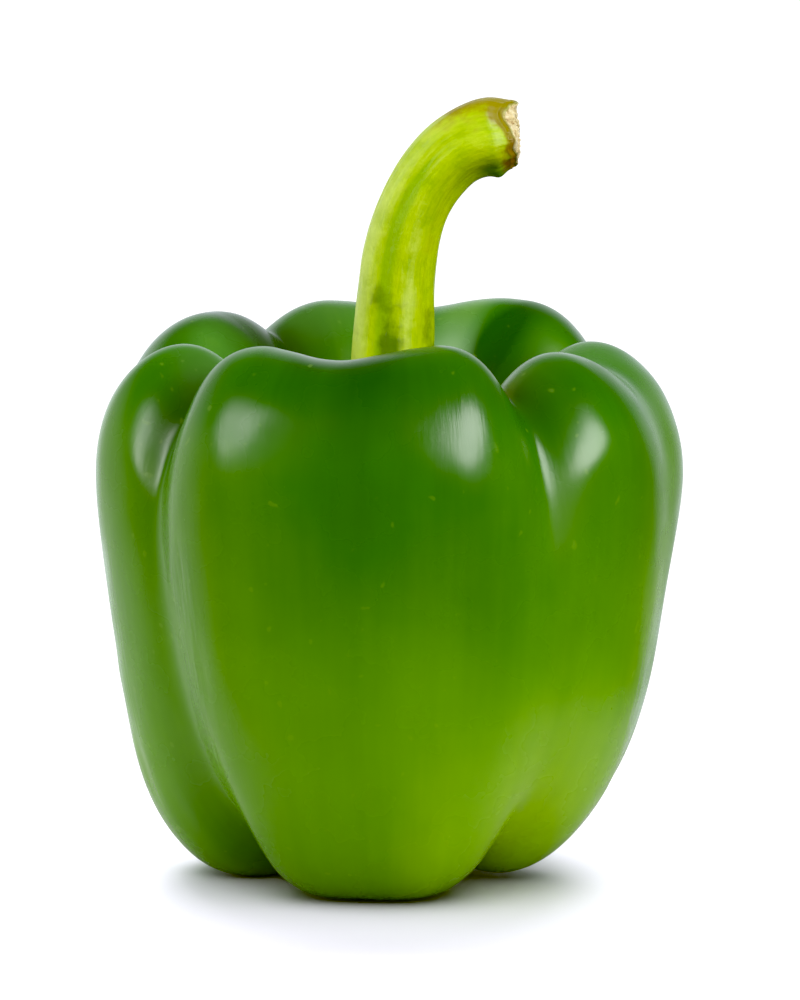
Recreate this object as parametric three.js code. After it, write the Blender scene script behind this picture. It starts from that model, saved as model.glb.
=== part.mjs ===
import * as THREE from 'three';

// A bell pepper standing on the feet of its lobes, its stalk rising out of the dimple between
// the shoulders and bending to the right. Millimetres, +Z up, the front of the pepper towards
// -Y. The origin is on the ground under the middle of the footprint. An azimuth is in degrees
// round the pepper: 0 is the front, 90 the right, -90 the left.

const HALF_WIDTH = 42; // from the pod's axis to the widest part of a lobe
const HEIGHT = 79; // of the pod, without its stalk
const AXIS = [-0.18, -0.06]; // where the pod's axis stands, x and y

// The pod is blended from two meridians, each a spline through [radius, height] points given
// as shares of HALF_WIDTH and HEIGHT, from the stem dimple over the shoulder to the blossom
// dimple. CROWN runs over the top of a lobe and GROOVE, its partner point by point, down the
// fold between two lobes.
const CROWN = [
  [0, 0.78], [0.15, 0.78], [0.29, 0.785], // floor of the stem dimple
  [0.4, 0.85], [0.51, 0.96], [0.665, 1.018], [0.835, 0.992], // over the shoulder
  [0.96, 0.915], [1.015, 0.805], [1.005, 0.7], // the widest part
  [0.967, 0.56], [0.933, 0.425], [0.895, 0.294], [0.83, 0.156], // down the flank
  [0.7, 0.038], [0.5, -0.022], [0.31, 0.004], // the foot
  [0.14, 0.05], [0, 0.062], // into the blossom dimple
];
const GROOVE = [
  [0, 0.78], [0.15, 0.78], [0.29, 0.78],
  [0.43, 0.819], [0.571, 0.875], [0.7, 0.894], [0.81, 0.862],
  [0.88, 0.794], [0.912, 0.706], [0.905, 0.606],
  [0.876, 0.5], [0.838, 0.388], [0.78, 0.281], [0.69, 0.175],
  [0.56, 0.1], [0.417, 0.065], [0.274, 0.058],
  [0.131, 0.06], [0, 0.062],
];

// Four lobes, each with two crowns either side of a soft crease. crest: how much higher the
// crown stands than HEIGHT; reach: share of its spread that the foot keeps; lift: how far the
// foot stays off the ground.
const CROWNS = [
  { at: -166, crest: 0.8, reach: 1, lift: 0 }, // back lobe, its other crown comes last
  { at: -116, crest: 0.5, reach: 1, lift: 0 }, // left lobe
  { at: -82, crest: -1.4, reach: 1, lift: 0 },
  { at: -36, crest: 0.4, reach: 1, lift: 0 }, // front lobe
  { at: 14, crest: 0.8, reach: 1, lift: 0 },
  { at: 58, crest: -1.4, reach: 0.88, lift: 1.2 }, // right lobe
  { at: 92, crest: -2, reach: 0.8, lift: 1.2 },
  { at: 130, crest: 1.6, reach: 0.92, lift: 0 }, // back lobe
];

// The folds between the lobes and the soft creases on them. at and width: azimuth of the
// bottom of the fold and its half width at the shoulder; footAt and footWidth: the same at the
// foot; depth: how far it sinks from CROWN (0) to GROOVE (1) at each of DEPTH_AT; round: how
// blunt its bottom is.
const DEPTH_AT = [0.24, 0.42, 0.6, 0.78]; // along the meridian: dimple, shoulder, waist, foot
const FOLDS = [
  { at: -58.5, footAt: -53, width: 25, footWidth: 38, depth: [0.92, 1.08, 1, 1.15], round: 0.12 },
  { at: 35, footAt: 43, width: 21, footWidth: 42, depth: [0.75, 0.82, 0.35, 0.9], round: 0.12 },
  { at: 115, footAt: 126, width: 24, footWidth: 36, depth: [1, 1, 0.6, 1], round: 0.12 },
  { at: -143, footAt: -142, width: 21, footWidth: 36, depth: [0.4, 0.5, 0.5, 1], round: 0.12 },
  { at: -13, footAt: -8, width: 30, footWidth: 30, depth: [0.2, 0.06, 0.1, 0.05], round: 0.4 },
  { at: 75, footAt: 84, width: 22, footWidth: 22, depth: [0.3, 0.22, 0.12, 0.1], round: 0.3 },
  { at: 172, footAt: 174, width: 30, footWidth: 30, depth: [0.2, 0, 0.05, 0.1], round: 0.4 },
  { at: -98, footAt: -98, width: 22, footWidth: 22, depth: [0.4, 0.4, 0.15, 0.1], round: 0.25 },
];
const FOLD_POWER = 2.2; // above 1, the sides of a fold ease out into the crowns

// Stretches of the meridian over which one thing fades into the next.
const OUT_OF_DIMPLE = [0.08, 0.23]; // crest starts to count
const BELOW_SHOULDER = [0.3, 0.6]; // crest stops counting
const INTO_FOOT = [0.6, 0.9]; // reach and lift start to count
const FOLD_TURN = [0.35, 0.85]; // a fold goes from at and width to footAt and footWidth

// The calyx lies on the floor of the dimple, with blunt points, and the stalk grows out of it.
const CALYX_GAP = 0.4; // between the calyx and the pod
const CALYX_THICKNESS = 1.5;
const CALYX_EDGE = 0.118; // how far along the meridian it reaches
const CALYX_ROOT = 0.78; // share of that at which the stalk starts to rise
const CALYX_POINT_DEPTH = 0.1;

// Middle line of the stalk: [x, z, radius], from its root on the calyx to the broken end.
const STALK = [
  [0, 63.6, 8.6],
  [0.1, 64.8, 7.4],
  [0.3, 67.8, 6.4],
  [0.6, 73, 6],
  [0.8, 78, 5.75],
  [1, 83, 5.5],
  [1.3, 88, 5.3],
  [2.2, 93, 5.1],
  [4, 98, 4.95],
  [6.7, 102.4, 4.9],
  [10, 105.6, 5.1],
  [14, 107.2, 5.5],
  [17.6, 107.4, 5.25],
];
const RIBS = 5; // each runs out into a point of the calyx
const RIB_DEPTH = 0.09; // share of the radius
const RIB_MEAN = 0.6; // height between the ribs and their grooves at which the radius holds
const RIB_GROOVE_AT = -18; // azimuth of one of the grooves between the ribs
// The broken end: [distance past the end of STALK, share of its radius]. A worn lip, a ring
// that sank as it dried, and the woody core standing out of it.
const BREAK = [[0.5, 0.94], [0.8, 0.82], [0.4, 0.66], [0.5, 0.5], [1.2, 0.4], [1.3, 0.2]];

const POD_COLUMNS = 88;
const POD_ROWS = 46;
const STEM_COLUMNS = 40;
const UNDERSIDE_ROWS = 4;
const CALYX_ROWS = 6;
const STALK_ROWS = 26;
const TANGENT_STEP = 0.001; // either side of the place where the stalk's direction is taken

const { clamp, degToRad, euclideanModulo, lerp, smootherstep } = THREE.MathUtils;

// A uniform cubic spline shaped by points, at share t of its length. before and after are the
// points that carry on past its two ends.
function spline(points, before, after, t) {
  const all = [before, ...points, after];
  const spans = all.length - 3;
  const place = clamp(t, 0, 1) * spans;
  const first = Math.min(Math.floor(place), spans - 1);
  const f = place - first;
  const weights = [
    (1 - f) ** 3 / 6,
    (3 * f ** 3 - 6 * f ** 2 + 4) / 6,
    (-3 * f ** 3 + 3 * f ** 2 + 3 * f + 1) / 6,
    f ** 3 / 6,
  ];
  return before.map((_, axis) =>
    weights.reduce((sum, weight, i) => sum + weight * all[first + i][axis], 0));
}

// A meridian crosses the pod's axis level at both ends, so its mirror image carries it on.
function meridian(points, t) {
  const mirrored = ([radius, height]) => [-radius, height];
  return spline(points, mirrored(points[1]), mirrored(points.at(-2)), t);
}

// The value named key of the crowns, blended round the pod.
function aroundCrowns(key, azimuth) {
  const next = CROWNS.findIndex((crown) => crown.at > azimuth);
  const to = CROWNS[Math.max(next, 0)];
  const from = CROWNS.at(Math.max(next, 0) - 1);
  const span = euclideanModulo(to.at - from.at, 360);
  return lerp(from[key], to[key], smootherstep(euclideanModulo(azimuth - from.at, 360), 0, span));
}

// How far the folds sink at this azimuth and share t of the meridian.
function foldDepth(azimuth, t) {
  const towardsFoot = smootherstep(t, ...FOLD_TURN);
  let total = 0;
  for (const fold of FOLDS) {
    const at = lerp(fold.at, fold.footAt, towardsFoot);
    const width = lerp(fold.width, fold.footWidth, towardsFoot);
    const away = euclideanModulo(azimuth - at + 180, 360) - 180;
    const blunt = (distance) => Math.hypot(distance, fold.round) - fold.round;
    const side = 1 - blunt(away / width) / blunt(1);
    let depth = fold.depth[0];
    for (let i = 1; i < DEPTH_AT.length; i += 1) {
      depth = lerp(depth, fold.depth[i], smootherstep(t, DEPTH_AT[i - 1], DEPTH_AT[i]));
    }
    total += depth * Math.max(side, 0) ** FOLD_POWER;
  }
  return total;
}

// Point of the pod's skin at an azimuth and share t of the meridian, 0 at the stem end.
function podPoint(azimuth, t) {
  const crown = meridian(CROWN, t);
  const groove = meridian(GROOVE, t);
  const sink = foldDepth(azimuth, t);
  const top = smootherstep(t, ...OUT_OF_DIMPLE) * (1 - smootherstep(t, ...BELOW_SHOULDER));
  const foot = smootherstep(t, ...INTO_FOOT);
  const reach = lerp(1, aroundCrowns('reach', azimuth), foot);
  const radius = lerp(crown[0], groove[0], sink) * HALF_WIDTH * reach;
  const height = lerp(crown[1], groove[1], sink) * HEIGHT
    + aroundCrowns('crest', azimuth) * top + aroundCrowns('lift', azimuth) * foot;
  const angle = degToRad(azimuth);
  return [
    AXIS[0] + radius * Math.sin(angle),
    AXIS[1] - radius * Math.cos(angle),
    Math.max(height, 0), // the feet rest flat on the ground
  ];
}

// A closed body lofted down through rings of points that each run from left to right across
// the front. The first and last rings are single points.
function loft(rings) {
  const positions = [];
  const starts = [];
  for (const ring of rings) {
    starts.push(positions.length / 3);
    positions.push(...ring.flat());
  }
  const faces = [];
  const columns = rings[1].length;
  const last = rings.length - 1;
  for (let row = 0; row < last; row += 1) {
    for (let i = 0; i < columns; i += 1) {
      const next = (i + 1) % columns;
      const a = starts[row] + i;
      const b = starts[row] + next;
      const c = starts[row + 1] + i;
      const d = starts[row + 1] + next;
      if (row === 0) {
        faces.push(starts[0], c, d);
      } else if (row === last - 1) {
        faces.push(a, starts[last], b);
      } else {
        faces.push(a, c, b, b, c, d);
      }
    }
  }
  const geometry = new THREE.BufferGeometry();
  geometry.setAttribute('position', new THREE.Float32BufferAttribute(positions, 3));
  geometry.setIndex(faces);
  geometry.computeVertexNormals();
  return geometry;
}

// The azimuths of one ring, from -180 up.
function azimuths(columns) {
  return Array.from({ length: columns }, (_, i) => (i / columns) * 360 - 180);
}

function podGeometry() {
  const rings = [[podPoint(0, 0)]];
  for (let row = 1; row < POD_ROWS; row += 1) {
    rings.push(azimuths(POD_COLUMNS).map((azimuth) => podPoint(azimuth, row / POD_ROWS)));
  }
  rings.push([podPoint(0, 1)]);
  return loft(rings);
}

// Point of the dimple's floor at a share of the calyx's own outline, raised by a height.
function calyxPoint(azimuth, share, raised) {
  const points = 1 - CALYX_POINT_DEPTH * Math.cos(RIBS * degToRad(azimuth - RIB_GROOVE_AT));
  const [x, y, z] = podPoint(azimuth, CALYX_EDGE * points * share);
  return [x, y, z + raised];
}

// Point of the ribbed stalk at an azimuth round its middle line and share t of its length,
// past its end by a distance and with its radius shrunk to a share.
function stalkPoint(azimuth, t, past = 0, share = 1) {
  const carryOn = (end, inner) => end.map((value, axis) => 2 * value - inner[axis]);
  const before = carryOn(STALK[0], STALK[1]);
  const after = carryOn(STALK.at(-1), STALK.at(-2));
  const [x, z, radius] = spline(STALK, before, after, t);
  const ahead = spline(STALK, before, after, t + TANGENT_STEP);
  const behind = spline(STALK, before, after, t - TANGENT_STEP);
  const along = new THREE.Vector2(ahead[0] - behind[0], ahead[1] - behind[1]).normalize();
  const angle = degToRad(azimuth);
  const rib = Math.abs(Math.sin((RIBS / 2) * (angle - degToRad(RIB_GROOVE_AT))));
  const out = radius * share * (1 + RIB_DEPTH * (rib - RIB_MEAN));
  const right = out * Math.sin(angle);
  return [
    AXIS[0] + x + right * along.y + past * along.x,
    AXIS[1] - out * Math.cos(angle),
    z - right * along.x + past * along.y,
  ];
}

function stemGeometry() {
  const ring = (point) => azimuths(STEM_COLUMNS).map(point);
  const rings = [[calyxPoint(0, 0, CALYX_GAP)]];
  for (let row = 1; row <= UNDERSIDE_ROWS; row += 1) {
    rings.push(ring((azimuth) => calyxPoint(azimuth, row / UNDERSIDE_ROWS, CALYX_GAP)));
  }
  for (let row = 1; row <= CALYX_ROWS; row += 1) {
    const t = row / CALYX_ROWS;
    const raised = CALYX_GAP + CALYX_THICKNESS * Math.sin((Math.min(t * 2, 1) * Math.PI) / 2);
    rings.push(ring((azimuth) => calyxPoint(azimuth, lerp(1, CALYX_ROOT, t ** 2), raised)));
  }
  for (let row = 0; row <= STALK_ROWS; row += 1) {
    rings.push(ring((azimuth) => stalkPoint(azimuth, row / STALK_ROWS)));
  }
  for (const [past, share] of BREAK) {
    rings.push(ring((azimuth) => stalkPoint(azimuth, 1, past, share)));
  }
  rings.push([stalkPoint(0, 1, BREAK.at(-1)[0], 0)]);
  return loft(rings.reverse());
}

const skin = new THREE.MeshStandardMaterial({ color: 0x3f7a10, roughness: 0.25, metalness: 0 });
const stalkGreen = new THREE.MeshStandardMaterial({ color: 0xa6c21a, roughness: 0.6, metalness: 0 });

const pod = new THREE.Mesh(podGeometry(), skin);
pod.name = 'pod';

const stem = new THREE.Mesh(stemGeometry(), stalkGreen);
stem.name = 'stem';

const pepper = new THREE.Group();
pepper.add(pod, stem);

export default pepper;
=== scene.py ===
"""A green bell pepper standing on a white table in soft studio light.

Sizes are in millimetres until a mesh is made, and in metres from there on. The pepper stands
on z = 0 with its front towards -Y. An azimuth is in degrees round it: 0 is the front, 90 the
right. t runs along a meridian of the pod, from 0 in the stem dimple to 1 in the blossom dimple.
"""
import math

import bpy
import numpy as np
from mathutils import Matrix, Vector


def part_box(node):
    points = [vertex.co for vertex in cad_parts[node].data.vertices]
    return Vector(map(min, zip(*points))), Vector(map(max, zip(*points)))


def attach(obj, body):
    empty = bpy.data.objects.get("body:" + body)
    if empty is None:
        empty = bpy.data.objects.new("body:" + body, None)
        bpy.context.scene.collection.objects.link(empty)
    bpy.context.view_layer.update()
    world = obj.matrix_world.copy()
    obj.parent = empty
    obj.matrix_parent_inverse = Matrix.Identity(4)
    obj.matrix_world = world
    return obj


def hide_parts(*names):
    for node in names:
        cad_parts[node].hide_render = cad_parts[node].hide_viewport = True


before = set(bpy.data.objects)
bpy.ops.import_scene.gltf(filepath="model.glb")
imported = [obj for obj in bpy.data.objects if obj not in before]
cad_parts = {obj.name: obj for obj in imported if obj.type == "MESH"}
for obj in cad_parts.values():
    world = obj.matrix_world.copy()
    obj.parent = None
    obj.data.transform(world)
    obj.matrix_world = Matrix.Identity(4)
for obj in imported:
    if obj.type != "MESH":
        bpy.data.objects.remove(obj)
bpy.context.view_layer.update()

MM = 0.001

# The pod. CROWN is the meridian over a crest and GROOVE, its partner point by point, the one down
# a fold: points that shape it, with the radius as a share of HALF_WIDTH and the height of HEIGHT.
HALF_WIDTH = 42.0
HEIGHT = 79.0
CROWN = [
    (0, 0.78), (0.15, 0.78), (0.29, 0.785),
    (0.4, 0.85), (0.51, 0.96), (0.665, 1.018), (0.835, 0.992),
    (0.96, 0.915), (1.015, 0.805), (1.005, 0.7),
    (0.967, 0.56), (0.933, 0.425), (0.895, 0.294), (0.83, 0.156),
    (0.7, 0.038), (0.5, -0.022), (0.31, 0.004),
    (0.14, 0.05), (0, 0.062),
]
GROOVE = [
    (0, 0.78), (0.15, 0.78), (0.29, 0.78),
    (0.43, 0.819), (0.571, 0.875), (0.7, 0.894), (0.81, 0.862),
    (0.88, 0.794), (0.912, 0.706), (0.905, 0.606),
    (0.876, 0.5), (0.838, 0.388), (0.78, 0.281), (0.69, 0.175),
    (0.56, 0.1), (0.417, 0.065), (0.274, 0.058),
    (0.131, 0.06), (0, 0.062),
]
# azimuth, how much higher than HEIGHT the crest is, share of its spread that the foot keeps, how
# far the foot stays off the ground
CROWNS = [
    (-166, 0.8, 1, 0),
    (-116, 0.5, 1, 0),
    (-82, -1.4, 1, 0),
    (-36, 0.4, 1, 0),
    (14, 0.8, 1, 0),
    (58, -1.4, 0.88, 1.2),
    (92, -2, 0.8, 1.2),
    (130, 1.6, 0.92, 0),
]
# azimuth and half width at the shoulder, the same at the foot, how far it sinks from CROWN (0) to
# GROOVE (1) at each t of DEPTH_AT, how blunt its bottom is
DEPTH_AT = (0.24, 0.42, 0.6, 0.78)
FOLDS = [
    (-58.5, 25, -53, 38, (0.92, 1.08, 1, 1.15), 0.12),
    (35, 21, 43, 42, (0.75, 0.82, 0.35, 0.9), 0.12),
    (115, 24, 126, 36, (1, 1, 0.6, 1), 0.12),
    (-143, 21, -142, 36, (0.4, 0.5, 0.5, 1), 0.12),
    (-13, 30, -8, 30, (0.2, 0.06, 0.1, 0.05), 0.4),
    (75, 22, 84, 22, (0.3, 0.22, 0.12, 0.1), 0.3),
    (172, 30, 174, 30, (0.2, 0, 0.05, 0.1), 0.4),
    (-98, 22, -98, 22, (0.4, 0.4, 0.15, 0.1), 0.25),
]
FOLD_POWER = 2.2
# ranges of t: the crests' own heights set in and end, the feet's reach and lift set in, and the
# folds turn from their place at the shoulder to that at the foot
OUT_OF_DIMPLE = (0.08, 0.23)
BELOW_SHOULDER = (0.3, 0.6)
INTO_FOOT = (0.6, 0.9)
FOLD_TURN = (0.35, 0.85)

# The calyx lies over the floor of the dimple, as far out as t = CALYX_EDGE of the pod, and the
# stalk grows out of it. The stalk's middle line is given by x, z and radius.
CALYX_GAP = 0.4
CALYX_THICKNESS = 1.5
CALYX_EDGE = 0.118
CALYX_ROOT = 0.78
CALYX_POINT_DEPTH = 0.1
STALK = [
    (0, 63.6, 8.6), (0.1, 64.8, 7.4), (0.3, 67.8, 6.4), (0.6, 73, 6), (0.8, 78, 5.75),
    (1, 83, 5.5), (1.3, 88, 5.3), (2.2, 93, 5.1), (4, 98, 4.95), (6.7, 102.4, 4.9),
    (10, 105.6, 5.1), (14, 107.2, 5.5), (17.6, 107.4, 5.25),
]
STALK_LENGTH = 52.0
RIBS = 5
RIB_DEPTH = 0.12
RIB_MEAN = 0.6
RIB_BLUNT = 0.3
RIB_GROOVE_AT = -18

# The fine skin over these shapes
POD_COLUMNS = 360
POD_ROWS = 256
STEM_COLUMNS = 192
STALK_ROWS = 230
END_ROWS = 28
CALYX_ROWS = 16
RIM_SHARE = 0.93
RIM_TORN_BACK = 1.5
RIM_LIP = 0.8
LIP_SHRINK = 0.05
PITH_PAST_END = 1.1
FOOT_BLUNT = 1.6
WALL_WAVES = 0.16
SKIN_WAVES = 0.025
# dents and bumps of the skin: azimuth, t, spread in degrees, spread in t, height
DENTS = [
    (-93, 0.60, 4, 0.014, -0.35),
    (-90, 0.63, 5, 0.016, 0.2),
    (-91, 0.72, 7, 0.05, 0.5),
    (-70, 0.74, 3, 0.03, -0.2),
    (-79, 0.70, 2.5, 0.03, -0.16),
    (88, 0.48, 9, 0.06, 0.45),
    (86, 0.66, 9, 0.05, -0.2),
    (74, 0.655, 5, 0.012, -0.16),
    (82, 0.70, 5, 0.014, -0.2),
    (88, 0.745, 5, 0.02, -0.3),
    (-47, 0.53, 2.5, 0.03, -0.14),
    (-43, 0.60, 2.2, 0.035, -0.12),
    (-46, 0.67, 2.5, 0.03, -0.12),
    (-47, 0.30, 7, 0.06, 0.9),
    (24, 0.31, 7, 0.04, 0.5),
    (31, 0.52, 5, 0.05, -0.5),
    (41, 0.52, 6, 0.05, 0.3),
    (135, 0.24, 7, 0.05, -0.9),
    (-65, 0.42, 7, 0.03, 0.4),
    (51, 0.42, 9, 0.03, 0.55),
    (34, 0.79, 11, 0.05, 0.6),
    (-38, 0.79, 11, 0.05, 0.7),
    (121, 0.29, 7, 0.05, 0.8),
    (160, 0.55, 5, 0.05, -0.25),
    (-175, 0.66, 4, 0.06, -0.18),
]

# The skin's colours. The shade goes from 0, deep green, to 1, yellow-green.
SHADE_AT_TOP = 0.375
YELLOWER_AT_FOOT = 0.18
DARKER_CREST = 0.13
# darker in the folds near the top: partly their deeper green, partly painted shade
DEEPER_GREEN_AND_SHADE_IN_FOLDS = 0.4
# places of another shade: azimuth, share of the height, spreads of both, how much yellower; some
# rows are painted light and painted shadow, as marked
SHADES = [
    (42, 0.12, 34, 0.3, 0.30),
    # the next two rows make the left side lighter: painted light
    (-36, 0.5, 16, 0.35, 0.12),
    (-84, 0.5, 26, 0.45, 0.12),
    (78, 0.6, 18, 0.3, 0.20),
    (-5, 1.0, 20, 0.28, -0.24),
    # darker low beside the left fold: painted shadow
    (-64, 0.05, 10, 0.3, -0.12),
    (150, 0.2, 60, 0.3, 0.10),
]
# the same round the shoulders, with t instead of the share of the height; some rows are painted
# light and painted shade, as marked
SHOULDER_SHADES = [
    (-103, 0.26, 9, 0.03, 0.2),
    # lighter patch on the inner wall of the back-right lobe: painted reflection
    (154, 0.27, 12, 0.06, 0.22),
    # yellow-green patch on the lit inner wall at the right: painted highlight
    (119, 0.27, 6, 0.05, 0.45),
    # dark valley in the back-right fold: partly deeper green, partly painted shade
    (135, 0.21, 8, 0.07, -0.55),
    (-126, 0.27, 12, 0.08, -0.35),
    # the next two rows: darker beside the left and right folds at the shoulders, painted shade
    (-62, 0.34, 12, 0.06, -0.18),
    (42, 0.34, 12, 0.06, -0.14),
]
# painted grey sheen, besides that along the crests: azimuth, t, spreads of both, amount
CREST_PAINTED_SHEEN = 0.3
PAINTED_SHEEN = [
    (155, 0.17, 13, 0.055, 3.2),
    (135, 0.21, 9, 0.08, -1),
]
# fine wrinkles: azimuth, t, spreads of both, amount
WRINKLES = [
    (18, 0.38, 9, 0.05, 0.42),
    (-47, 0.6, 5, 0.15, 1),
    (-84, 0.62, 10, 0.1, 1),
    (80, 0.66, 12, 0.08, 1),
]
SCAR_RADIUS = (1.5, 3.2)
POD_GRAIN = {"radius": 30, "length": 190, "stretch": 14}

# The stalk's colours: azimuth, t from 0 at the root to 1 at the torn end, spreads of both, amount
STALK_COLOURS = {
    # whitish painted highlights down the stalk's left side and its front
    "painted_highlight": [(-58, 0.5, 24, 0.4, 0.6), (22, 0.4, 15, 0.3, 0.35)],
    "olive": [(-6, 0.3, 19, 0.12, 0.8), (75, 0.24, 22, 0.2, 0.5), (-28, 0.44, 11, 0.03, 0.35)],
    "green": [(82, 0.94, 40, 0.08, 0.95)],
    "brown": [(-88, 0.95, 46, 0.12, 1.15), (-32, 0.99, 22, 0.05, 0.6), (-92, 0.56, 14, 0.06, 0.35)],
}
# azimuth and spread of the pinched lip, of its brown edge and of the groove down the front
LIP = (85, 40)
LIP_BROWN = (60, 42)
FRONT_GROOVE = (-16, 14)
STALK_GRAIN = {"radius": 6, "length": STALK_LENGTH, "stretch": 5}

# The studio
FAINT_BLUE = 0.025
STUDIO_DARK = 0.12
BACKDROP = 1.2
# walls of light: the direction they lie in, how near to it they start, brightness, tint
WALLS = [
    ((0.0, 0.99, 0.14), 0.7, 1.15, (0.88, 0.95, 1.05)),
    ((-0.8, 0.59, -0.1), 0.66, 1.0, (0.95, 1.0, 1.0)),
]
# lights: name, shape, azimuth, elevation, distance, width, height, power
SOFTBOXES = [
    ("left_softbox", "ELLIPSE", -65, 28, 1.0, 0.25, 0.58, 3.8),
    ("left_window", "RECTANGLE", -53, 23, 1.1, 0.85, 0.78, 1.4),
    ("right_softbox", "ELLIPSE", 43, 26.5, 1.0, 0.82, 0.54, 16),
]
RIGHT_SOFTBOX_ROLL = 40
FILLS = [
    ("left_fill", "SQUARE", -75, 20, 1.0, 0.6, 0.6, 5),
    ("top_fill", "SQUARE", 0, 80, 1.0, 0.5, 0.5, 3),
    ("back_fill", "SQUARE", 180, 60, 1.0, 0.5, 0.5, 4),
]
TABLE_LIGHTS = [
    ("table_front", "SQUARE", 0, 60, 1.0, 1.3, 1.3, 16.4),
    ("table_back", "SQUARE", 180, 50, 1.0, 1.0, 1.0, 18),
]
LIT_POINT = Vector((0, 0, 0.05))
TABLE_HALF = 1.0
TABLE_WHITE = (0.9, 0.87, 0.98)
TABLE_IN_GLOSS = (0.4, 0.4, 0.41)
TABLE_FADES = (0.055, 0.13)
SENSOR = 36
LENS = 300
CAMERA_ELEVATION = 8
CAMERA_DISTANCE = 1.2
CAMERA_AIM = Vector((0.0017, 0, 0.0545))


def smootherstep(value, low, high):
    share = np.clip((value - low) / (high - low), 0, 1)
    return share ** 3 * (share * (share * 6 - 15) + 10)


def bell(value, middle, spread):
    return np.exp(-((value - middle) / spread) ** 2)


def turn_between(azimuth, other):
    return (azimuth - other + 180) % 360 - 180


def patch(azimuth, along, at, spread, middle, spread_along):
    """A soft spot of height 1, round an azimuth and a middle along the piece."""
    return bell(turn_between(azimuth, at), 0, spread) * bell(along, middle, spread_along)


def patches(azimuth, along, rows):
    """The sum of soft spots given by azimuth, middle, spread, spread along and height."""
    total = np.zeros_like(along)
    for at, middle, spread, spread_along, height in rows:
        total += height * patch(azimuth, along, at, spread, middle, spread_along)
    return total


def spline(points, before, after, t):
    """A uniform cubic spline shaped by points, at each share t of its length."""
    shaping = np.array([before, *points, after], dtype=float)
    spans = len(shaping) - 3
    place = np.clip(t, 0, 1) * spans
    first = np.minimum(place.astype(int), spans - 1)
    f = (place - first)[..., None]
    return (
        shaping[first] * (1 - f) ** 3
        + shaping[first + 1] * (3 * f ** 3 - 6 * f ** 2 + 4)
        + shaping[first + 2] * (-3 * f ** 3 + 3 * f ** 2 + 3 * f + 1)
        + shaping[first + 3] * f ** 3
    ) / 6


def meridian(points, t):
    """Radius and height along a meridian, mirrored across the axis at both ends."""
    before = (-points[1][0], points[1][1])
    after = (-points[-2][0], points[-2][1])
    return spline(points, before, after, t)


def around_crowns(column, azimuth):
    """One column of CROWNS, blended round the pod."""
    blended = np.zeros_like(azimuth)
    for here, there in zip(CROWNS, CROWNS[1:] + CROWNS[:1]):
        span = (there[0] - here[0]) % 360
        past = (azimuth - here[0]) % 360
        share = smootherstep(past, 0, span)
        value = here[column] + (there[column] - here[column]) * share
        blended = np.where(past < span, value, blended)
    return blended


def fold_depth(azimuth, t):
    towards_foot = smootherstep(t, *FOLD_TURN)
    total = np.zeros_like(t)
    for at, width, foot_at, foot_width, depths, blunt in FOLDS:
        middle = at + (foot_at - at) * towards_foot
        half = width + (foot_width - width) * towards_foot
        away = turn_between(azimuth, middle) / half
        side = 1 - (np.hypot(away, blunt) - blunt) / (math.hypot(1, blunt) - blunt)
        depth = np.full_like(t, depths[0])
        for i in range(1, len(DEPTH_AT)):
            depth += (depths[i] - depth) * smootherstep(t, DEPTH_AT[i - 1], DEPTH_AT[i])
        total += depth * np.maximum(side, 0) ** FOLD_POWER
    return total


def pod_points(azimuth, t):
    """Points of the pod's skin before the fine relief, one for each azimuth and t."""
    crown = meridian(CROWN, t)
    groove = meridian(GROOVE, t)
    both = crown + (groove - crown) * fold_depth(azimuth, t)[..., None]
    top = smootherstep(t, *OUT_OF_DIMPLE) * (1 - smootherstep(t, *BELOW_SHOULDER))
    foot = smootherstep(t, *INTO_FOOT)
    reach = 1 + (around_crowns(2, azimuth) - 1) * foot
    radius = both[..., 0] * HALF_WIDTH * reach
    height = both[..., 1] * HEIGHT
    height = height + around_crowns(1, azimuth) * top + around_crowns(3, azimuth) * foot
    angle = np.radians(azimuth)
    return np.stack([radius * np.sin(angle), -radius * np.cos(angle), height], axis=-1)


def ripple(azimuth, t, seed, around, along, count=48):
    """A smooth random wave of about -1 to 1 that closes round the piece.

    around and along are the ranges of how many waves it has each way.
    """
    draw = np.random.default_rng(seed)
    angle = np.radians(azimuth)
    total = np.zeros_like(t)
    for _ in range(count):
        turns = draw.integers(around[0], around[1] + 1)
        waves = 2 * math.pi * draw.uniform(*along)
        shift_around, shift_along = draw.uniform(0, 2 * math.pi, 2)
        total += np.cos(turns * angle + shift_around) * np.cos(waves * t + shift_along)
    return total / math.sqrt(count)


def normals(points):
    """Outward normals of a grid of points whose rows run down the piece."""
    across = np.roll(points, -1, axis=1) - np.roll(points, 1, axis=1)
    down = np.gradient(points, axis=0)
    facing = np.cross(down, across)
    return facing / np.maximum(np.linalg.norm(facing, axis=-1, keepdims=True), 1e-9)


def grid(rows, columns):
    """Azimuths and shares t of the rings between the two end points."""
    turn = np.linspace(-180, 180, columns, endpoint=False)
    share = np.arange(1, rows) / rows
    return np.meshgrid(turn, share)


def closed_piece(name, rings, top, bottom, material):
    """A smooth closed object through rings of points, with a single point at each end."""
    rows, columns = rings.shape[:2]
    points = np.vstack([rings.reshape(-1, 3), top, bottom]) * MM
    corner = np.arange(rows * columns).reshape(rows, columns)
    beside = np.roll(corner, -1, axis=1)
    quads = np.stack([corner[:-1], corner[1:], beside[1:], beside[:-1]], axis=-1).reshape(-1, 4)
    top_point = rows * columns
    faces = quads.tolist()
    faces += [(top_point, a, b) for a, b in zip(corner[0].tolist(), beside[0].tolist())]
    faces += [(a, top_point + 1, b) for a, b in zip(corner[-1].tolist(), beside[-1].tolist())]
    mesh = bpy.data.meshes.new(name)
    mesh.from_pydata(points.tolist(), [], faces)
    mesh.shade_smooth()
    mesh.materials.append(material)
    piece = bpy.data.objects.new(name, mesh)
    bpy.context.scene.collection.objects.link(piece)
    return piece


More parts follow.
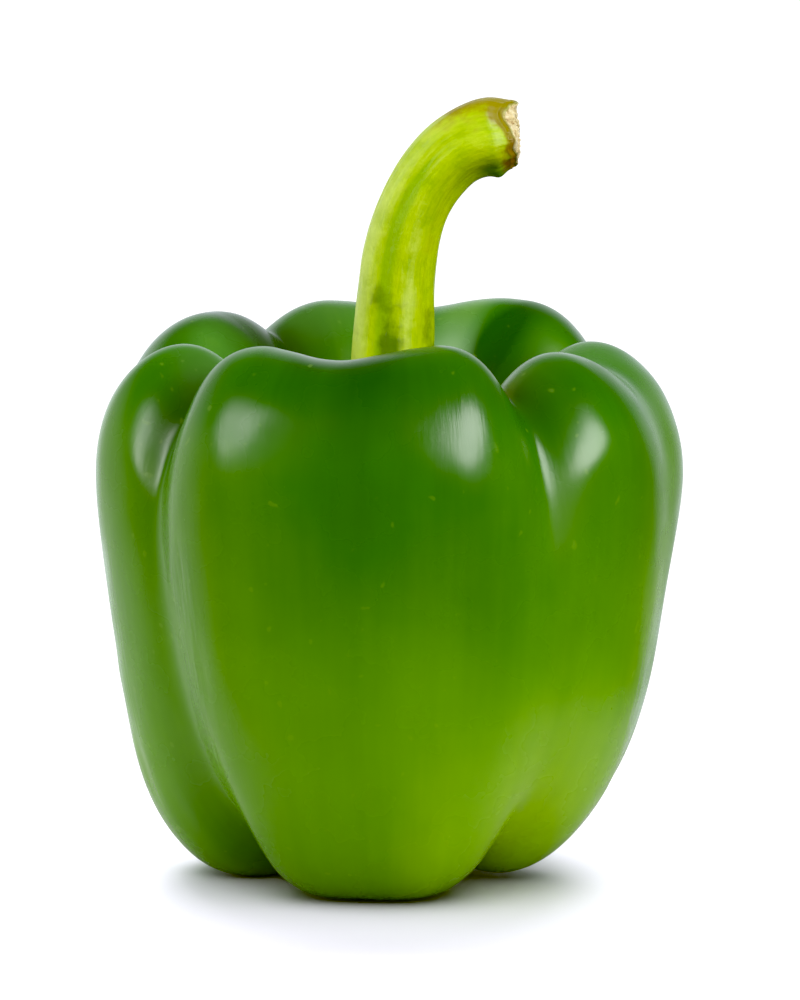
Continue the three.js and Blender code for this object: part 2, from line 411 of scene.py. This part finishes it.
def add_values(piece, name, values, top, bottom):
    """A number for each point of a closed piece, which its material reads by name."""
    attribute = piece.data.attributes.new(name, "FLOAT", "POINT")
    numbers = np.append(values.ravel(), [top, bottom]).astype(np.float32)
    attribute.data.foreach_set("value", numbers)


def add_grain(piece, azimuth, t, radius, length, stretch):
    """Coordinates for a material's noise, stretched along the piece into streaks."""
    angle = np.radians(azimuth)
    along = t * length / stretch
    grain = np.stack([radius * np.cos(angle), radius * np.sin(angle), along], axis=-1)
    ends = [[0, 0, 0], [0, 0, length / stretch]]
    attribute = piece.data.attributes.new("grain", "FLOAT_VECTOR", "POINT")
    vectors = np.vstack([grain.reshape(-1, 3), ends]).astype(np.float32)
    attribute.data.foreach_set("vector", vectors.ravel())


class Nodes:
    """A node tree, built a node at a time."""

    def __init__(self, tree):
        self.tree = tree

    def node(self, kind, inputs=None, **settings):
        made = self.tree.nodes.new(kind)
        for setting, value in settings.items():
            setattr(made, setting, value)
        for socket, value in (inputs or {}).items():
            self.plug(made.inputs[socket], value)
        return made

    def plug(self, socket, value):
        if isinstance(value, bpy.types.NodeSocket):
            self.tree.links.new(value, socket)
        else:
            socket.default_value = value

    def attribute(self, name, output="Fac"):
        return self.node("ShaderNodeAttribute", attribute_name=name).outputs[output]

    def noise(self, vector, scale, detail=2.0, roughness=0.5):
        inputs = {"Vector": vector, "Scale": scale, "Detail": detail, "Roughness": roughness}
        return self.node("ShaderNodeTexNoise", inputs).outputs["Fac"]

    def math(self, operation, first, second):
        return self.node("ShaderNodeMath", {0: first, 1: second}, operation=operation).outputs[0]

    def add(self, first, second):
        return self.math("ADD", first, second)

    def times(self, first, second):
        return self.math("MULTIPLY", first, second)

    def fit(self, value, low, high, to_low=0.0, to_high=1.0):
        inputs = {"Value": value, "From Min": low, "From Max": high}
        inputs.update({"To Min": to_low, "To Max": to_high})
        made = self.node("ShaderNodeMapRange", inputs, interpolation_type="SMOOTHSTEP")
        return made.outputs["Result"]

    def ramp(self, value, stops):
        made = self.node("ShaderNodeValToRGB", {"Fac": value})
        elements = made.color_ramp.elements
        while len(elements) < len(stops):
            elements.new(1.0)
        for element, (place, colour) in zip(elements, stops):
            element.position = place
            element.color = (*colour, 1)
        return made.outputs["Color"]

    def mix(self, share, first, second):
        made = self.node("ShaderNodeMix", {0: share}, data_type="RGBA")
        self.plug(made.inputs[6], first)
        self.plug(made.inputs[7], second)
        return made.outputs[2]

    def bump(self, height, distance, normal=None):
        inputs = {"Height": height, "Distance": distance}
        if normal:
            inputs["Normal"] = normal
        return self.node("ShaderNodeBump", inputs).outputs["Normal"]

    def background(self, colour, strength):
        inputs = {"Color": (*colour, 1), "Strength": strength}
        return self.node("ShaderNodeBackground", inputs).outputs[0]


class Shader(Nodes):
    """A material's node tree."""

    def __init__(self, name):
        self.material = bpy.data.materials.new(name)
        self.material.use_nodes = True
        super().__init__(self.material.node_tree)
        self.principled = self.tree.nodes["Principled BSDF"]

    def set(self, **values):
        for name, value in values.items():
            self.plug(self.principled.inputs[name.replace("_", " ")], value)


def skin_material():
    """Waxy skin, from deep green to yellow-green, with faint streaks along the meridians."""
    shader = Shader("pepper_skin")
    grain = shader.attribute("grain", "Vector")
    place = shader.node("ShaderNodeTexCoord").outputs["Object"]

    shade = shader.attribute("shade")
    cloud = shader.noise(place, 45.0, 3.0)
    shade = shader.add(shade, shader.fit(cloud, 0.25, 0.75, -0.05, 0.05))
    broad = shader.noise(grain, 0.16, 3.0)
    shade = shader.add(shade, shader.fit(broad, 0.25, 0.75, -0.035, 0.035))
    streaks = shader.noise(grain, 0.8, 4.0, 0.6)
    shade = shader.add(shade, shader.fit(streaks, 0.3, 0.7, -0.01, 0.01))
    green = shader.ramp(shade, [
        (0.0, (0.001, 0.042, 0.0003)),
        (0.3, (0.016, 0.105, 0.0003)),
        (0.6, (0.064, 0.188, 0.0003)),
        (1.0, (0.185, 0.335, 0.0006)),
    ])
    speck = shader.fit(shader.noise(place, 700.0, 0.0), 0.78, 0.86)
    green = shader.mix(shader.times(speck, 0.15), green, (0.2, 0.33, 0.05, 1))
    # Painted grey sheen on the crests and on the inner walls of the back lobes.
    painted_sheen = shader.times(shader.attribute("painted_sheen"), shader.fit(cloud, 0.25, 0.75, 0.1, 0.35))
    green = shader.mix(painted_sheen, green, (0.22, 0.34, 0.2, 1))
    scar = shader.attribute("scar")
    cork = shader.ramp(shader.noise(place, 1500.0, 3.0), [
        (0.35, (0.10, 0.055, 0.02)),
        (0.65, (0.34, 0.24, 0.10)),
    ])
    shader.set(Base_Color=shader.mix(scar, green, cork))

    polish = shader.fit(shader.noise(place, 120.0, 3.0), 0.3, 0.7, 0.22, 0.31)
    shader.set(Roughness=shader.math("MAXIMUM", polish, shader.times(scar, 0.8)))
    shader.set(IOR=1.4)

    wrinkles = shader.math("SUBTRACT", shader.noise(grain, 1.4, 3.0, 0.6), 0.5)
    relief = shader.bump(shader.times(wrinkles, shader.attribute("wrinkled")), 0.00012)
    relief = shader.bump(shader.noise(grain, 3.0, 2.0), 0.00001, relief)
    relief = shader.bump(shader.noise(place, 150.0, 1.0), 0.00002, relief)
    relief = shader.bump(shader.times(shader.noise(place, 900.0, 3.0), scar), 0.0008, relief)
    shader.set(Normal=relief)
    return shader.material


def pod_relief(azimuth, t):
    """How far the skin stands out from the smooth pod."""
    walls = smootherstep(t, 0.12, 0.4) * (1 - smootherstep(t, 0.75, 0.95))
    waves = WALL_WAVES * ripple(azimuth, t, seed=7, around=(3, 9), along=(0.5, 4))
    waves += SKIN_WAVES * ripple(azimuth, t, seed=11, around=(12, 40), along=(4, 16), count=160)
    return waves * walls + patches(azimuth, t, DENTS)


def stood_on_ground(points):
    """The points with the feet rounded off at the ground, and the crests as high as before."""
    height = points[..., 2]
    rounded = (height + np.hypot(height, FOOT_BLUNT)) / 2
    rounded -= rounded.min()
    standing = points.copy()
    standing[..., 2] = rounded * height.max() / rounded.max()
    return standing


def pod_shade(azimuth, t, height):
    """How yellow the green is, from 0 to 1, with painted light and painted shade in places. height
    is the share of the pod's height.
    """
    shade = SHADE_AT_TOP + YELLOWER_AT_FOOT * (1 - smootherstep(height, -0.1, 0.95))
    shade -= DARKER_CREST * smootherstep(height, 0.8, 1.0)
    # darker down the folds near the top: partly their deeper green, partly painted shade
    in_folds = np.clip(fold_depth(azimuth, t), 0, 1) * (1 - smootherstep(t, 0.2, 0.45))
    shade -= DEEPER_GREEN_AND_SHADE_IN_FOLDS * in_folds
    # patches of another tone, some of them painted light and painted shade
    shade += patches(azimuth, height, SHADES) + patches(azimuth, t, SHOULDER_SHADES)
    return shade + 0.02 * ripple(azimuth, height, seed=3, around=(1, 7), along=(0, 2))


def pod_piece(centre):
    azimuth, t = grid(POD_ROWS, POD_COLUMNS)
    smooth = pod_points(azimuth, t)
    points = stood_on_ground(smooth + normals(smooth) * pod_relief(azimuth, t)[..., None])
    top, bottom = pod_points(np.zeros(2), np.array([0.0, 1.0]))
    material = skin_material()
    piece = closed_piece("pod_skin", points + centre, top + centre, bottom + centre, material)

    add_grain(piece, azimuth, t, **POD_GRAIN)
    shade = pod_shade(azimuth, t, points[..., 2] / HEIGHT)
    add_values(piece, "shade", shade, 0.4, 0.5)
    # painted sheen along the crests and on the inner walls of the back lobes
    painted_sheen = patches(azimuth, t, PAINTED_SHEEN) + CREST_PAINTED_SHEEN * bell(t, 0.26, 0.05)
    add_values(piece, "painted_sheen", np.maximum(painted_sheen, 0), 0, 0)
    add_values(piece, "wrinkled", patches(azimuth, t, WRINKLES), 0, 0)
    radius = np.hypot(points[..., 0], points[..., 1])
    scar = (1 - smootherstep(radius, *SCAR_RADIUS)) * (t > 0.5)
    add_values(piece, "scar", scar, 0, 1)
    return piece


def stalk_material():
    """Satin yellow-green stalk with whitish painted highlights on its left and front, olive at its
    root and brown at its torn end.
    """
    shader = Shader("stalk_skin")
    grain = shader.attribute("grain", "Vector")
    place = shader.node("ShaderNodeTexCoord").outputs["Object"]
    fibres = shader.noise(grain, 2.2, 4.0, 0.65)
    mottle = shader.noise(place, 260.0, 4.0, 0.6)

    mixed = shader.add(shader.times(fibres, 0.45), shader.times(mottle, 0.55))
    colour = shader.ramp(mixed, [
        (0.3, (0.185, 0.295, 0.001)),
        (0.5, (0.275, 0.375, 0.003)),
        (0.7, (0.355, 0.445, 0.015)),
    ])
    layers = [
        # whitish painted highlight
        ("painted_highlight", (0.45, 0.56, 0.12), mottle, 0.1),
        ("groove", (0.17, 0.29, 0.0005), fibres, 0.12),
        ("olive", (0.06, 0.13, 0.001), mottle, 0.25),
        ("calyx", (0.10, 0.20, 0.004), mottle, 0.15),
        ("green", (0.035, 0.14, 0.001), mottle, 0.2),
        ("brown", (0.175, 0.145, 0.0005), mottle, 0.25),
        ("lip", (0.14, 0.06, 0.008), mottle, 0.25),
    ]
    for name, tint, texture, break_up in layers:
        broken = shader.fit(texture, 0.3, 0.7, -break_up, break_up)
        amount = shader.fit(shader.add(shader.attribute(name), broken), 0.15, 0.85)
        colour = shader.mix(amount, colour, (*tint, 1))
    pith = shader.ramp(shader.noise(place, 900.0, 4.0, 0.7), [
        (0.3, (0.20, 0.10, 0.03)),
        (0.45, (0.52, 0.42, 0.20)),
        (0.7, (0.78, 0.72, 0.50)),
    ])
    torn = shader.attribute("pith")
    shader.set(Base_Color=shader.mix(torn, colour, pith))
    shader.set(Roughness=shader.fit(mottle, 0.3, 0.7, 0.38, 0.55))
    shader.set(IOR=1.4)

    relief = shader.bump(fibres, 0.00006)
    relief = shader.bump(mottle, 0.0002, relief)
    fluff = shader.times(shader.noise(place, 700.0, 4.0, 0.7), torn)
    shader.set(Normal=shader.bump(fluff, 0.0012, relief))
    return shader.material


def calyx_points(azimuth, share, raised):
    tips = 1 - CALYX_POINT_DEPTH * np.cos(RIBS * np.radians(azimuth - RIB_GROOVE_AT))
    points = pod_points(azimuth, CALYX_EDGE * tips * share)
    points[..., 2] += raised
    return points


def stalk_points(azimuth, t, past, share):
    """Points round the stalk's middle line, past its end and shrunk to a share of its radius."""
    before = 2 * np.array(STALK[0]) - STALK[1]
    after = 2 * np.array(STALK[-1]) - STALK[-2]
    middle = spline(STALK, before, after, t)
    step = 0.001
    along = spline(STALK, before, after, t + step) - spline(STALK, before, after, t - step)
    along = along[..., :2] / np.linalg.norm(along[..., :2], axis=-1, keepdims=True)
    angle = np.radians(azimuth)
    rib = np.hypot(np.sin(RIBS / 2 * (angle - math.radians(RIB_GROOVE_AT))), RIB_BLUNT)
    out = middle[..., 2] * share * (1 + RIB_DEPTH * (rib - RIB_MEAN))
    right = out * np.sin(angle)
    return np.stack([
        middle[..., 0] + right * along[..., 1] + past * along[..., 0],
        -out * np.cos(angle),
        middle[..., 1] - right * along[..., 0] + past * along[..., 1],
    ], axis=-1)


def section(azimuth, t, points, **values):
    """A run of rings of the stem, with its material's values, 0 where none is named."""
    return {"azimuth": azimuth, "t": t, "points": points, **values}


def rim_past_end(azimuth):
    """How far the torn skin reaches past the end of the stalk's middle line."""
    torn_back = RIM_TORN_BACK * bell(turn_between(azimuth, -42), 0, 30)
    lip = RIM_LIP * bell(turn_between(azimuth, -100), 0, 34)
    ragged = 0.25 * ripple(azimuth, np.zeros_like(azimuth), seed=5, around=(3, 16), along=(0, 0))
    return lip - torn_back + ragged


def near_azimuth(azimuth, place):
    """1 at an azimuth, falling to 0 over a spread, both given by place."""
    return bell(turn_between(azimuth, place[0]), 0, place[1])


def torn_end(turn):
    """From the middle of the pith out to the rim of the skin."""
    azimuth, inside = np.meshgrid(turn, np.linspace(1, 0, END_ROWS + 1)[1:])
    pith = smootherstep(inside, 0.16, 0.34)
    rounded = 0.9 * np.sqrt(np.clip(inside / 0.12, 0, 1))
    fibres = 0.3 * ripple(azimuth, inside, seed=6, around=(4, 22), along=(1, 5))
    past = rim_past_end(azimuth) * (1 - smootherstep(inside, 0.04, 0.3))
    past += rounded * (1 - pith) + (PITH_PAST_END + fibres) * pith
    past -= 0.8 * patch(azimuth, inside, -70, 24, 0.45, 0.14)
    rim_share = RIM_SHARE - LIP_SHRINK * near_azimuth(azimuth, LIP)
    points = stalk_points(azimuth, np.ones_like(azimuth), past, rim_share * (1 - inside))
    skin = 1 - smootherstep(inside, 0.03, 0.12)
    return section(
        azimuth, np.ones_like(azimuth), points,
        pith=1 - skin,
        brown=0.9 * skin,
        lip=skin * (0.2 + 0.7 * near_azimuth(azimuth, LIP_BROWN)),
    )


def stalk(turn):
    """From the rim of the torn end down to the calyx."""
    azimuth, t = np.meshgrid(turn, np.linspace(1, 0, STALK_ROWS))
    size = 1 - (1 - RIM_SHARE) * smootherstep(t, 0.93, 1)
    size += 0.09 * patch(azimuth, t, 70, 45, 0.955, 0.04)
    size -= LIP_SHRINK * smootherstep(t, 0.95, 1) * near_azimuth(azimuth, LIP)
    size += 0.04 * patch(azimuth, t, -80, 40, 0.93, 0.05)
    size += 0.012 * ripple(azimuth, t, seed=21, around=(1, 4), along=(1.5, 6))
    size += 0.005 * ripple(azimuth, t, seed=22, around=(14, 40), along=(1, 8), count=120)
    past = rim_past_end(azimuth) * smootherstep(t, 0.86, 1) ** 3

    rib = np.abs(np.sin(RIBS / 2 * np.radians(azimuth - RIB_GROOVE_AT)))
    groove = 0.95 * near_azimuth(azimuth, FRONT_GROOVE) * (1 - smootherstep(t, 0.65, 0.85))
    groove += 0.3 * (1 - smootherstep(rib, 0, 0.35))
    amounts = {name: patches(azimuth, t, rows) for name, rows in STALK_COLOURS.items()}
    amounts["olive"] += 0.5 * (1 - smootherstep(t, 0.08, 0.25))
    amounts["olive"] += 0.15 * (1 - smootherstep(t, 0.25, 0.6))
    amounts["brown"] += 0.7 * smootherstep(t, 0.975, 1)
    return section(
        azimuth, t, stalk_points(azimuth, t, past, size),
        groove=groove,
        calyx=1 - smootherstep(t, 0.02, 0.12),
        lip=0.9 * smootherstep(t, 0.93, 1) * near_azimuth(azimuth, LIP_BROWN),
        **amounts,
    )


def calyx_top(turn):
    """From the stalk's root out to the edge of the calyx."""
    azimuth, inward = np.meshgrid(turn, np.linspace(1, 0, CALYX_ROWS + 1)[1:])
    rise = CALYX_THICKNESS * np.sin(np.minimum(inward * 2, 1) * math.pi / 2)
    share = 1 + (CALYX_ROOT - 1) * inward ** 2
    points = calyx_points(azimuth, share, CALYX_GAP + rise)
    ones = np.ones_like(azimuth)
    return section(azimuth, 0 * ones, points, calyx=ones, olive=0.3 * ones)


def calyx_underside(turn):
    """From the edge of the calyx in to its middle."""
    azimuth, share = np.meshgrid(turn, np.linspace(0.9, 0.1, CALYX_ROWS))
    points = calyx_points(azimuth, share, CALYX_GAP)
    return section(azimuth, np.zeros_like(azimuth), points, calyx=np.ones_like(azimuth))


def stem_piece(centre):
    turn = np.linspace(-180, 180, STEM_COLUMNS, endpoint=False)
    sections = [torn_end(turn), stalk(turn), calyx_top(turn), calyx_underside(turn)]

    def joined(name):
        empty = [np.zeros_like(one["t"]) for one in sections]
        return np.vstack([one.get(name, none) for one, none in zip(sections, empty)])

    rings = np.vstack([one["points"] for one in sections])
    tip = rings[0].mean(axis=0)
    root = rings[-1].mean(axis=0)
    material = stalk_material()
    piece = closed_piece("stem_skin", rings + centre, tip + centre, root + centre, material)
    add_grain(piece, joined("azimuth"), joined("t"), **STALK_GRAIN)
    for name in ("painted_highlight", "groove", "olive", "calyx", "green", "brown", "lip", "pith"):
        values = joined(name)
        add_values(piece, name, values, values[0].mean(), values[-1].mean())
    return piece


def pod_centre():
    """Where the pod's axis stands in the frame, from the box of the CAD pod."""
    low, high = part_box("pod")
    azimuth, t = grid(POD_ROWS, POD_COLUMNS)
    points = pod_points(azimuth, t).reshape(-1, 3)
    middle = (points.min(axis=0) + points.max(axis=0)) / 2
    centre = (np.array(low) + np.array(high)) / 2 / MM - middle
    return np.array([centre[0], centre[1], 0])


def floor():
    """A white table that fades into the backdrop and shows only faintly in the glossy skin."""
    sides = [(-1, -1), (1, -1), (1, 1), (-1, 1)]
    mesh = bpy.data.meshes.new("floor")
    mesh.from_pydata([(x * TABLE_HALF, y * TABLE_HALF, 0) for x, y in sides], [], [(0, 1, 2, 3)])

    shader = Shader("white_table")
    shiny = shader.node("ShaderNodeLightPath").outputs["Is Glossy Ray"]
    white = shader.mix(shiny, (*TABLE_WHITE, 1), (*TABLE_IN_GLOSS, 1))
    shader.set(Base_Color=white, Roughness=0.5, Specular_IOR_Level=0.1)
    place = shader.node("ShaderNodeTexCoord").outputs["Object"]
    away = shader.node("ShaderNodeVectorMath", {0: place}, operation="LENGTH").outputs["Value"]
    solid = shader.principled.outputs[0]
    clear = shader.node("ShaderNodeBsdfTransparent").outputs[0]
    share = shader.fit(away, *TABLE_FADES)
    faded = shader.node("ShaderNodeMixShader", {0: share, 1: solid, 2: clear}).outputs[0]
    shader.plug(shader.tree.nodes["Material Output"].inputs["Surface"], faded)
    mesh.materials.append(shader.material)

    table = bpy.data.objects.new("floor", mesh)
    bpy.context.scene.collection.objects.link(table)
    return table


def place_facing(piece, azimuth, elevation, distance, aim):
    """Stand a light or camera at an azimuth, elevation and distance from aim, facing it."""
    turn, rise = math.radians(azimuth), math.radians(elevation)
    away = Vector((
        math.sin(turn) * math.cos(rise),
        -math.cos(turn) * math.cos(rise),
        math.sin(rise),
    ))
    piece.location = aim + away * distance
    piece.rotation_euler = away.to_track_quat("Z", "Y").to_euler()


def softbox(name, shape, azimuth, elevation, distance, width, height, power):
    light = bpy.data.lights.new(name, "AREA")
    light.shape = shape
    light.size = width
    light.size_y = height
    light.energy = power
    piece = bpy.data.objects.new(name, light)
    bpy.context.scene.collection.objects.link(piece)
    place_facing(piece, azimuth, elevation, distance, LIT_POINT)
    return piece


def light_only(lights, lit):
    """Keep the light of these lights to the objects in lit."""
    reached = bpy.data.collections.new("reached")
    for piece in lit:
        reached.objects.link(piece)
    for light in lights:
        light.light_linking.receiver_collection = reached


def surroundings():
    """A dark studio with walls of light behind, and a pure white backdrop for the camera."""
    world = bpy.data.worlds.new("studio")
    bpy.context.scene.world = world
    world.use_nodes = True
    world.node_tree.nodes.clear()
    nodes = Nodes(world.node_tree)
    direction = nodes.node("ShaderNodeTexCoord").outputs["Generated"]
    lit = nodes.background((STUDIO_DARK, STUDIO_DARK, STUDIO_DARK), 1.0)
    for towards, start, strength, tint in WALLS:
        both = {0: direction, 1: towards}
        near = nodes.node("ShaderNodeVectorMath", both, operation="DOT_PRODUCT").outputs["Value"]
        wall = nodes.background(tint, nodes.fit(near, start, 1.0, 0.0, strength))
        lit = nodes.node("ShaderNodeAddShader", {0: lit, 1: wall}).outputs[0]
    backdrop = nodes.background((1, 1, 1), BACKDROP)
    seen = nodes.node("ShaderNodeLightPath").outputs["Is Camera Ray"]
    shown = nodes.node("ShaderNodeMixShader", {0: seen, 1: lit, 2: backdrop}).outputs[0]
    nodes.node("ShaderNodeOutputWorld", {"Surface": shown})


def colours():
    """Plain colours, with the faintest blue dropped as in the photograph's print."""
    view = bpy.context.scene.view_settings
    view.view_transform = "Standard"
    view.use_curve_mapping = True
    view.curve_mapping.black_level = (0, 0, FAINT_BLUE)


def camera():
    data = bpy.data.cameras.new("camera")
    data.sensor_fit = "VERTICAL"
    data.sensor_height = SENSOR
    data.lens = LENS
    piece = bpy.data.objects.new("camera", data)
    bpy.context.scene.collection.objects.link(piece)
    place_facing(piece, 0, CAMERA_ELEVATION, CAMERA_DISTANCE, CAMERA_AIM)
    bpy.context.scene.camera = piece


centre = pod_centre()
pod = pod_piece(centre)
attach(pod, "root")
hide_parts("pod")

stem = stem_piece(centre)
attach(stem, "root")
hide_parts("stem")

camera()
surroundings()
colours()
table = floor()
softboxes = [softbox(*row) for row in SOFTBOXES]
softboxes[-1].rotation_euler.rotate_axis("Z", math.radians(RIGHT_SOFTBOX_ROLL))
fills = [softbox(*row) for row in FILLS]
for fill in fills:
    fill.visible_glossy = False
table_lights = [softbox(*row) for row in TABLE_LIGHTS]
light_only(softboxes + fills, [pod, stem])
light_only(table_lights, [table])
